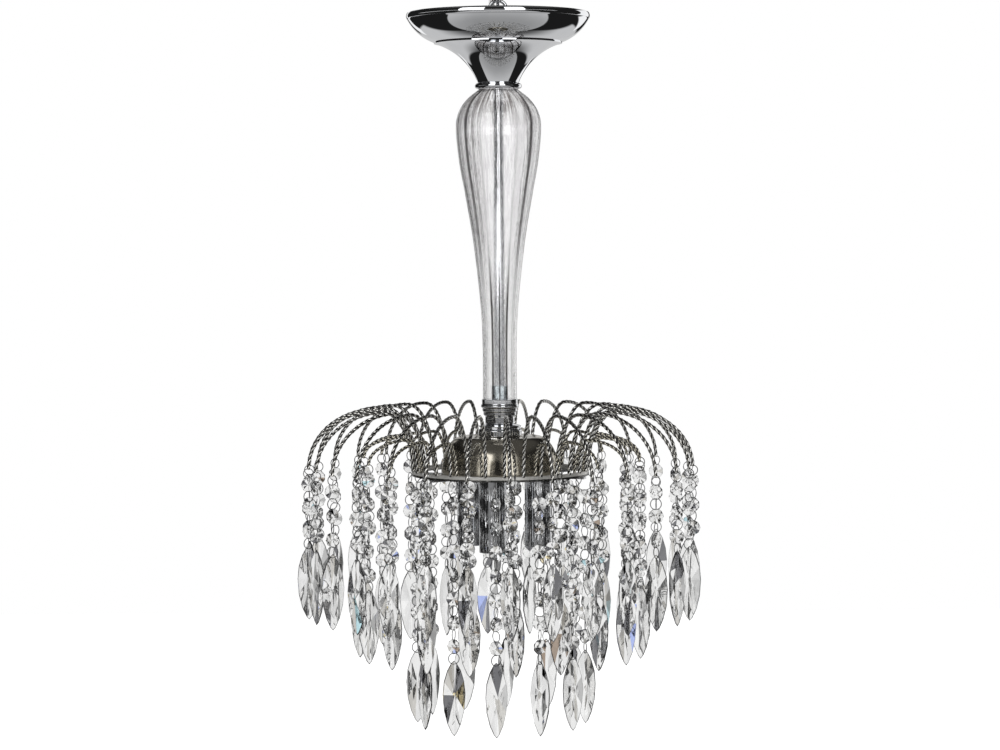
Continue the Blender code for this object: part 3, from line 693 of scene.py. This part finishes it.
def streak_noise(tree, bearing, z):
    """Noise drawn out down the glass, which is where blowing leaves it uneven."""
    run = tree.nodes.new("ShaderNodeCombineXYZ")
    for value, socket in zip((calc(tree, "SINE", bearing), calc(tree, "COSINE", bearing),
                              calc(tree, "MULTIPLY", z, STREAK_RUN)), run.inputs):
        tree.links.new(value, socket)
    noise = tree.nodes.new("ShaderNodeTexNoise")
    noise.inputs["Scale"].default_value = STREAK_SCALE
    noise.inputs["Detail"].default_value = STREAK_DETAIL
    tree.links.new(run.outputs[0], noise.inputs["Vector"])
    return noise.outputs["Fac"]


def blown_glass():
    """Clear glass with the grey streaks of blowing, and painted shade at its neck and down each groove.

    On the bulb the painted shade down the grooves is at both sides, and each lobe on the left has a
    painted dark line down its ridge. Below the bulb the painted shade down the grooves is in the middle.
    """
    material = surface("blown_glass", (0.99, 0.99, 0.99), (0.98, 0.98, 0.98),
                       roughness=(0.0, 0.01), scale=20.0, transmission=1.0, ior=1.48)
    tree = material.node_tree
    shader = tree.nodes["Principled BSDF"]
    parts = tree.nodes.new("ShaderNodeSeparateXYZ")
    tree.links.new(tree.nodes.new("ShaderNodeTexCoord").outputs["Object"], parts.inputs[0])
    x, y, z = parts.outputs
    bearing = calc(tree, "ARCTAN2", x, y)
    sideways = calc(tree, "SINE", bearing)
    off_axis = calc(tree, "ABSOLUTE", sideways)
    lobes = calc(tree, "FRACT", calc(tree, "MULTIPLY", bearing, GLASS_RIBS / math.tau))
    off_ridge = calc(tree, "ABSOLUTE", calc(tree, "MULTIPLY_ADD", lobes, 2.0, -1.0))
    bulb = fade(tree, z, BULB_FOOT)
    noise = streak_noise(tree, bearing, z)

    colour = shader.inputs["Base Color"].links[0].from_socket
    # The second pass paints shade at the neck.
    for streaks in (STREAKS, NECK_SHADE):
        share = times(tree, fade(tree, noise, streaks["edge"]), fade(tree, z, streaks["heights"]))
        colour = blend(tree, share, colour, (*streaks["grey"], 1.0), "RGBA")
    # Painted shade: a dark line down each groove, at both sides on the bulb and in the middle below it.
    dark = blend(tree, bulb, fade(tree, off_axis, GROOVE_SHADE_MIDDLE), fade(tree, off_axis, GROOVE_SHADE_SIDES))
    groove_shading = fade(tree, calc(tree, "MULTIPLY_ADD", bulb, -GROOVE_SHADE_FINER, off_ridge), GROOVE_SHADE_EDGE)
    colour = blend(tree, times(tree, groove_shading, dark), colour, (*GROOVE_SHADE_GREY, 1.0), "RGBA")
    # Painted shade: a dark line down the ridge of each lobe on the bulb's left side.
    ridge = times(tree, fade(tree, off_ridge, RIDGE_SHADE_EDGE), fade(tree, sideways, RIDGE_SHADE_SIDE), bulb)
    colour = blend(tree, ridge, colour, (*RIDGE_SHADE_GREY, 1.0), "RGBA")
    tree.links.new(colour, shader.inputs["Base Color"])
    shader.inputs["Specular IOR Level"].default_value = GLASS_GLOSS

    bump = tree.nodes.new("ShaderNodeBump")
    bump.inputs["Strength"].default_value = STREAK_BUMP
    bump.inputs["Distance"].default_value = STREAK_RELIEF * MM
    tree.links.new(noise, bump.inputs["Height"])
    tree.links.new(bump.outputs["Normal"], shader.inputs["Normal"])
    return material


def pipe(outer, inner, top, bottom):
    """The profile of a straight pipe."""
    return [(outer, top), (outer, bottom), (inner, bottom), (inner, top)]


glass_route = [(radius, GLASS_TOP + down) for radius, down in GLASS_SHAPE]
outside = [tuple(point) for point in smooth_through(glass_route, GLASS_SPAN_STEPS)]
inside = [(max(radius - GLASS_WALL, GLASS_MOUTH), drop) for radius, drop in outside]
skins = {round(drop, 2): radius for radius, drop in outside}
bm = bmesh.new()
turn(bm, [*outside, *inside[::-1]], STEPS_PER_RIB * GLASS_RIBS)
for vert in bm.verts:
    skin = skins[round(-vert.co.z / MM, 2)]
    if vert.co.xy.length > (skin - RIB_SKIN) * MM:
        lobe = math.atan2(vert.co.x, vert.co.y) * GLASS_RIBS / math.tau % 1.0 * 2.0 - 1.0
        vert.co.xy *= 1.0 - RIB_DEPTH * abs(lobe) ** RIB_SHARPNESS
dress(joined("ribbed_glass", bm, GLASS_SHARP), blown_glass(), "lamp", "blown_glass", "glass_column")
tube = turned_piece("lamp_tube", pipe(ROD_RADIUS, ROD_BORE, ROD_TOP, ROD_FOOT), ROD_ROUND)
dress(tube, chrome, "lamp", "polished_chrome", "centre_rod")
blue_zinc = surface("blue_zinc", (0.86, 0.94, 0.98), (0.60, 0.68, 0.72),
                    roughness=(0.18, 0.32), scale=300.0, metallic=1.0)
nut_shape = pipe(NUT_CORNER, NUT_BORE, COUPLING_TOP, COUPLING_FOOT)
coupling = turned_piece("hexagon_coupling", nut_shape, NUT_SIDES)
dress(soften(coupling, NUT_SOFT), blue_zinc, "lamp", "plated_steel", "coupling_nut")

# The collars under the glass: two turned and chromed pieces with beads and grooves, threaded on the tube,
# which seat the glass and press the dome down.
COLLAR_TOP = 451.4
COLLAR_SHAPE = [
    (18.0, 0.0), (18.0, 5.0), (19.0, 5.8), (19.0, 8.0), (17.5, 9.0),
    (17.5, 12.0), (16.5, 12.8), (16.5, 16.0), (14.7, 17.0), (14.7, 24.5),
]
BELL_TOP = 476.2
BELL_SHAPE = [(15.0, 0.0), (21.0, 1.8), (21.0, 3.2), (19.0, 4.0), (22.0, 6.0), (22.0, 12.0)]
COLLAR_SOFT = 0.6
COLLAR_SOFT_ANGLE = 20.0

for name, node, shape, top in (("glass_collar", "column_collar", COLLAR_SHAPE, COLLAR_TOP),
                               ("bell_collar", "hub_bell", BELL_SHAPE, BELL_TOP)):
    collar = turned_piece(name, bored([(radius, top + down) for radius, down in shape]))
    dress(soften(collar, COLLAR_SOFT, COLLAR_SOFT_ANGLE), chrome, "lamp", "polished_chrome", node)

# The dome: spun from sheet in dark chrome, clamped between the bell and the steel spider. The spider is a
# flat plate with bars that carry the two bands, held up by a nut on the tube's foot.
DOME_TOP = (38.0, 488.6)
DOME_FOOT = (59.0, 527.0)
DOME_WALL = 1.5
DOME_STEPS = 18


def quarter(start, end, steps, level_first):
    """Points of a quarter ellipse from start to end, level at its first or at its last point."""
    points = []
    for i in range(steps + 1):
        angle = math.pi / 2 * i / steps
        along, across = math.sin(angle), 1.0 - math.cos(angle)
        if not level_first:
            along, across = across, along
        points.append((start[0] + (end[0] - start[0]) * along, start[1] + (end[1] - start[1]) * across))
    return points


dark_chrome = surface("dark_chrome", (0.57, 0.53, 0.45), (0.44, 0.41, 0.34),
                      roughness=(0.14, 0.24), scale=45.0, metallic=1.0)
shoulder = quarter(DOME_TOP, DOME_FOOT, DOME_STEPS, True)
under = [(radius - DOME_WALL, drop + DOME_WALL) for radius, drop in shoulder[:-1]]
dome = turned_piece("crown_dome", [*shoulder, (DOME_FOOT[0] - DOME_WALL, DOME_FOOT[1]), *under[::-1],
                                   (ROD_CLEAR, DOME_TOP[1] + DOME_WALL), (ROD_CLEAR, DOME_TOP[1])])
dress(dome, dark_chrome, "lamp", "dark_chrome", "hub_dome")
for node in ("crown_spider", "rod_nut"):
    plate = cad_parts[node]
    plate.data.materials.clear()
    plate.data.materials.append(plated_steel)

# The crown: two flat bands, one in the other, with thirty and twenty arms brazed round them. An arm is two
# wires twisted to a rope and bent up, over, and down to a hanging tip. A black core along each rope is
# painted shade in the grooves between its wires, and a black ring round each band's foot is painted shade.
BAND_TOP = 521.9
BAND_BOTTOM = 527.0
BAND_WALL = 1.5
BAND_ROUND = 144
# Painted shade: a black ring round the lower edge of each band.
BAND_EDGE_SHADE = 2.0
BAND_EDGE_SHADE_DEPTH = 0.2
FOOT_LAP = 0.8
ARM_PATH_STEPS = 40
COARSE_ROUND = 1
# The last size of each tier is the width of the black core along its ropes, which is painted shade.
TIERS = {
    "outer": {"count": 30, "azimuth": 2.7, "band": 88.5, "foot": 87.8, "apex": (122.0, 461.3),
              "tip": (192.0, 518.6), "wire": 2.0, "helix": 1.05, "lay": 13.0, "rope_core_shade": 3.2},
    "inner": {"count": 20, "azimuth": 5.7, "band": 85.4, "foot": 84.6, "apex": (100.0, 489.2),
              "tip": (141.0, 512.5), "wire": 1.8, "helix": 0.95, "lay": 10.0, "rope_core_shade": 2.8},
}


def spread(first, count):
    """The azimuths of a number of things set evenly round the lamp."""
    return [first + 360.0 / count * number for number in range(count)]


rope_chrome = surface("rope_chrome", (0.95, 0.94, 0.90), (0.86, 0.84, 0.78),
                      roughness=(0.05, 0.12), scale=60.0, metallic=1.0)
warm_nickel = surface("warm_nickel", (0.90, 0.86, 0.74), (0.78, 0.73, 0.60),
                      roughness=(0.08, 0.16), scale=60.0, metallic=1.0)
satin_nickel = surface("satin_nickel", (0.66, 0.65, 0.62), (0.52, 0.51, 0.48),
                       roughness=(0.30, 0.45), scale=90.0, metallic=0.7)
# Black metal for painted shade: the cores in the rope grooves and the rings round the bands' feet.
painted_shade_metal = surface("painted_shade_metal", (0.13, 0.125, 0.12), (0.07, 0.07, 0.065),
                      roughness=(0.2, 0.35), scale=200.0, metallic=1.0)
for tier, plating in (("outer", rope_chrome), ("inner", warm_nickel)):
    sizes = TIERS[tier]
    node = f"{tier}_arm_crown"
    rise = quarter((sizes["foot"], BAND_TOP), sizes["apex"], ARM_PATH_STEPS, False)
    fall = quarter(sizes["apex"], sizes["tip"], ARM_PATH_STEPS, True)
    outline = [(sizes["foot"], BAND_TOP + FOOT_LAP), *rise, *fall[1:]]
    ropes, middles = [], []
    for azimuth in spread(sizes["azimuth"], sizes["count"]):
        middles.append([around(radius, azimuth, drop) for radius, drop in outline])
        ropes += twisted(middles[-1], around(1.0, azimuth + 90.0, 0.0), sizes["helix"], sizes["lay"])
    arms = wire_curve(f"{tier}_twisted_arms", ropes, sizes["wire"], COARSE_ROUND)
    dress(arms, plating, "lamp", "dark_chrome", node)
    # A black core along each rope: painted shade in the grooves between the wires.
    rope_core_shade = wire_curve(f"{tier}_arm_core_shade", middles, sizes["rope_core_shade"], COARSE_ROUND)
    dress(rope_core_shade, painted_shade_metal, "lamp", "dark_chrome", node)
    band = sizes["band"]
    ring = turned_piece(f"{tier}_band", pipe(band, band - BAND_WALL, BAND_TOP, BAND_BOTTOM), BAND_ROUND)
    dress(soften(ring), satin_nickel, "lamp", "dark_chrome", node)
    # A black ring round the band's lower edge: painted shade.
    line = pipe(band + BAND_EDGE_SHADE_DEPTH, band - BAND_EDGE_SHADE_DEPTH, BAND_BOTTOM - BAND_EDGE_SHADE, BAND_BOTTOM)
    dress(turned_piece(f"{tier}_band_edge_shade", line, BAND_ROUND), painted_shade_metal, "lamp", "dark_chrome", node)

# The lamps: three chromed sleeves under the spider, each round an ivory lampholder whose small brass screw
# shell is open at the bottom for a candle bulb.
LAMPS = 3
LAMP_CIRCLE = 40.0
LAMP_AZIMUTH = -11.0
LAMP_TOP = 529.6
SLEEVE_RADIUS = 13.5
SLEEVE_WALL = 1.2
SLEEVE_BOTTOM = 600.1
SLEEVE_ROUND = 64
SLEEVE_SOFT = 0.3
HOLDER_SHAPE = [
    (0.0, LAMP_TOP), (7.0, LAMP_TOP), (11.8, 537.6), (11.8, 597.5), (7.2, 597.5), (7.2, 573.5), (0.0, 573.5),
]
HOLDER_ROUND = 48
SHELL_RADII = (7.1, 6.4)
SHELL_TOP = 574.0
SHELL_PITCH = 2.5
SHELL_TURNS = 8
SHELL_WALL = 0.3
SHELL_ROUND = 32
SHELL_SHARP = 60.0

ivory_resin = surface("ivory_resin", (0.74, 0.70, 0.60), (0.66, 0.61, 0.50),
                      roughness=(0.35, 0.50), scale=80.0)
sleeve_shape = pipe(SLEEVE_RADIUS, SLEEVE_RADIUS - SLEEVE_WALL, LAMP_TOP, SLEEVE_BOTTOM)
thread = [(SHELL_RADII[i % 2], SHELL_TOP + SHELL_PITCH / 2 * i) for i in range(2 * SHELL_TURNS + 1)]
thread_back = [(radius - SHELL_WALL, drop) for radius, drop in thread[::-1]]
for lamp, azimuth in enumerate(spread(LAMP_AZIMUTH, LAMPS), 1):
    spot = around(LAMP_CIRCLE, azimuth, 0.0).xy
    sleeve = soften(turned_piece(f"sleeve_{lamp}", sleeve_shape, SLEEVE_ROUND, spot), SLEEVE_SOFT)
    dress(sleeve, chrome, "lamp", "polished_chrome", f"lamp_sleeve_{lamp}")
    holder = soften(turned_piece(f"holder_{lamp}", HOLDER_SHAPE, HOLDER_ROUND, spot))
    dress(holder, ivory_resin, "lamp", "ivory_bakelite", f"lampholder_{lamp}")
    shell = turned_piece(f"screw_shell_{lamp}", [*thread, *thread_back], SHELL_ROUND, spot, SHELL_SHARP)
    dress(shell, brass, "lamp", "plated_steel")

# The crystal strands: octagon beads cut with eight slices to the point, pinned on wire rings, and an almond
# drop cut from its middle. Three beads hang on each outer arm and five on each inner arm. The long strands,
# of seven, hang from the inner band.
BEAD_PITCH = 23.2
BEAD_SIDES = 8
BEAD_RADIUS = 7.3
BEAD_GIRDLE = 1.4
BEAD_THICKNESS = 6.5
BEAD_HOLE = 6.2
RING_WIRE = 0.9
RING_STEPS = 14
RING_SIDES = 5
RING_TURN = (30.0, 90.0)
HOOK_LAP = 1.0
PENDANT_LENGTH = 73.5
PENDANT_WIDTH = 22.5
PENDANT_THICKNESS = 10.0
PENDANT_GIRDLE = 1.8
PENDANT_BEVEL = 0.6
PENDANT_BELLY = 0.45
PENDANT_POINT = 1.5
PENDANT_FACETS = 8
FLAT_ANGLE = 1.0
LAST_BEAD_TO_PENDANT = 13.5
STRANDS = {
    "outer": {**TIERS["outer"], "first": 15.0, "beads": 3},
    "inner": {**TIERS["inner"], "first": 15.0, "beads": 5},
    "long": {"count": 12, "azimuth": -3.3, "tip": (84.0, BAND_BOTTOM), "first": 22.1, "beads": 7},
}
CRYSTAL_TURN = 50.0
TURN_CHOICES = 13
TURN_STRIDES = (7, 5)
CRYSTAL_IOR = 1.55
# Painted reflections on the facets: greys and black from the room, and four colours as painted glints.
FACET_PAINTED_LIGHT = {
    (0.93, 0.93, 0.925): 0.798,  # clear
    (0.76, 0.76, 0.76): 0.12,  # pale grey
    (0.46, 0.44, 0.40): 0.03,  # warm grey
    (0.04, 0.04, 0.045): 0.04,  # black
    (0.26, 0.36, 1.0): 0.003,  # blue
    (0.18, 0.12, 0.08): 0.003,  # brown
    (0.36, 0.74, 0.86): 0.003,  # sea blue
    (1.0, 0.76, 0.30): 0.003,  # amber
}
# Painted shade on the narrow faces round each crystal's edge.
GIRDLE_PAINTED_SHADE = (0.14, 0.14, 0.14)
GIRDLE_TILT = 0.85


def mark_girdle(bm):
    """Mark the narrow faces round a crystal's edge, which colour_facets paints with shade."""
    bm.normal_update()
    for face in bm.faces:
        face.material_index = int(abs(face.normal.y) < GIRDLE_TILT)


def cut_bead():
    """One octagon crystal, face to the front. Eight slices rise to a point in the middle of each face."""
    bm = bmesh.new()
    for side in (-1, 1):
        bm.verts.new(Vector((0.0, side * BEAD_THICKNESS / 2, 0.0)) * MM)
        for corner in range(BEAD_SIDES):
            angle = math.tau * (corner + (side + 1) / 4) / BEAD_SIDES
            rim = Vector((math.sin(angle), 0.0, math.cos(angle))) * BEAD_RADIUS
            bm.verts.new((rim + Vector((0.0, side * BEAD_GIRDLE / 2, 0.0))) * MM)
    bmesh.ops.convex_hull(bm, input=bm.verts[:])
    bmesh.ops.recalc_face_normals(bm, faces=bm.faces[:])
    mark_girdle(bm)
    return mesh_of("octagon_bead", bm)


def cut_face(bm, front, first):
    """One face of the almond drop: eight flat facets, from its tip to every second point of its rim.

    The number first is that of the rim point where the facets start.
    """
    rim = bmesh.ops.create_circle(bm, segments=2 * PENDANT_FACETS, radius=1.0, cap_ends=True)["verts"]
    for vert in rim:
        side, height = vert.co.x, vert.co.y
        reach = PENDANT_BELLY if height > 0 else 1.0 - PENDANT_BELLY
        width = PENDANT_WIDTH / 2 * math.copysign(abs(side) ** PENDANT_POINT, side)
        vert.co = Vector((width, front * PENDANT_GIRDLE / 2, height * reach * PENDANT_LENGTH)) * MM
    tip = bmesh.ops.poke(bm, faces=rim[0].link_faces[:])["verts"][0]
    tip.co = Vector((0.0, front * PENDANT_THICKNESS / 2, 0.0)) * MM
    rim = rim[first:] + rim[:first]
    for before, vert, after in zip(rim[0::2], rim[1::2], rim[2::2] + rim[:1]):
        flat = (before.co - tip.co).cross(after.co - tip.co)
        reach = vert.co - tip.co
        vert.co.y = tip.co.y - (flat.x * reach.x + flat.z * reach.z) / flat.y


def cut_pendant():
    """One almond drop hanging from its top point, bevelled round its edge.

    Its back is cut half a facet round from its front.
    """
    bm = bmesh.new()
    cut_face(bm, -1, 0)
    cut_face(bm, 1, 1)
    bmesh.ops.bridge_loops(bm, edges=[edge for edge in bm.edges if edge.is_boundary])
    bmesh.ops.translate(bm, verts=bm.verts[:], vec=(0.0, 0.0, -PENDANT_BELLY * PENDANT_LENGTH * MM))
    bmesh.ops.dissolve_limit(bm, angle_limit=math.radians(FLAT_ANGLE), verts=bm.verts[:], edges=bm.edges[:])
    bmesh.ops.recalc_face_normals(bm, faces=bm.faces[:])
    mark_girdle(bm)
    rim = [edge for edge in bm.edges if len({face.material_index for face in edge.link_faces}) > 1]
    bmesh.ops.bevel(bm, geom=rim, offset=PENDANT_BEVEL * MM, affect="EDGES", segments=1, profile=0.5,
                    material=-1)
    mark_girdle(bm)
    return mesh_of("almond_drop", bm)


@functools.cache
def wire_ring(radius):
    """One round wire ring, upright, of this mean radius."""
    bm = bmesh.new()
    add_ring(bm, 0.0, radius, RING_WIRE, RING_SIDES, RING_STEPS)
    return mesh_of("wire_ring", bm)


def set_in(bm, mesh, place, azimuth):
    """Copy a mesh into a bmesh, with its front turned to this azimuth."""
    before = len(bm.verts)
    bm.from_mesh(mesh)
    bm.verts.ensure_lookup_table()
    pose = Matrix.Translation(place * MM) @ Matrix.Rotation(math.radians(azimuth), 4, "Z")
    bmesh.ops.transform(bm, matrix=pose, verts=bm.verts[before:])


def facing_of(strand, crystal):
    """The azimuth a crystal faces: it has turned on its ring, within CRYSTAL_TURN of the lamp's front."""
    choice = (TURN_STRIDES[0] * strand + TURN_STRIDES[1] * crystal) % TURN_CHOICES
    return CRYSTAL_TURN * (2.0 * choice / (TURN_CHOICES - 1) - 1.0)


def string_up(crystals, rings, sizes, azimuth, strand, draw):
    """One strand's crystals and wire rings, from the ring that hooks it up."""
    radius, tip_drop = sizes["tip"]
    hook = (sizes["first"] - BEAD_HOLE + HOOK_LAP) / 2
    set_in(rings, wire_ring(hook), around(radius, azimuth, tip_drop + hook - HOOK_LAP), azimuth + 90.0)
    for number in range(sizes["beads"]):
        drop = tip_drop + sizes["first"] + BEAD_PITCH * number
        facing = facing_of(strand, number)
        set_in(crystals, BEAD, around(radius, azimuth, drop), facing)
        ring_place = around(radius, azimuth, drop + BEAD_PITCH / 2)
        set_in(rings, wire_ring(BEAD_PITCH / 2 - BEAD_HOLE), ring_place, facing + draw.uniform(*RING_TURN))
    pendant_place = around(radius, azimuth, drop + LAST_BEAD_TO_PENDANT)
    set_in(crystals, PENDANT, pendant_place, facing_of(strand, sizes["beads"]))


def cut_crystal():
    """Clear lead crystal, with painted reflections and glints facet by facet."""
    material = bpy.data.materials.new("cut_crystal")
    material.use_nodes = True
    tree = material.node_tree
    shader = tree.nodes["Principled BSDF"]
    glint = tree.nodes.new("ShaderNodeAttribute")
    glint.attribute_name = "glint"
    tree.links.new(glint.outputs["Color"], shader.inputs["Base Color"])
    shader.inputs["Roughness"].default_value = 0.0
    shader.inputs["Transmission Weight"].default_value = 1.0
    shader.inputs["IOR"].default_value = CRYSTAL_IOR
    return material


def colour_facets(piece, draw):
    """Leave most facets clear, paint shade on the edges, and paint reflections and glints on others."""
    glints = piece.data.attributes.new("glint", "FLOAT_COLOR", "FACE")
    painted_looks = draw.choices(list(FACET_PAINTED_LIGHT), FACET_PAINTED_LIGHT.values(), k=len(glints.data))
    for facet, glint, painted_look in zip(piece.data.polygons, glints.data, painted_looks):
        glint.color = (*(GIRDLE_PAINTED_SHADE if facet.material_index else painted_look), 1.0)
        facet.material_index = 0


ring_steel = surface("ring_steel", (0.42, 0.42, 0.42), (0.28, 0.28, 0.28),
                     roughness=(0.10, 0.22), scale=150.0, metallic=1.0)
BEAD = cut_bead()
PENDANT = cut_pendant()
crystal = cut_crystal()
strand = 0
for kind, sizes in STRANDS.items():
    draw = random.Random(kind)
    azimuths = spread(sizes["azimuth"], sizes["count"])
    single = kind == "outer"
    groups = [[azimuth] for azimuth in azimuths] if single else [azimuths]
    for number, group in enumerate(groups, 1):
        crystals, rings = bmesh.new(), bmesh.new()
        for azimuth in group:
            string_up(crystals, rings, sizes, azimuth, strand, draw)
            strand += 1
        name = f"{kind}_strand_{number:02d}" if single else f"{kind}_strands"
        body = name if single else "lamp"
        node = name if single else "inner_arm_crown"
        hung = joined(f"{name}_crystals", crystals, 0.0)
        colour_facets(hung, draw)
        dress(hung, crystal, body, "cut_crystal", node)
        dress(joined(f"{name}_rings", rings), ring_steel, body, "plated_steel", node)
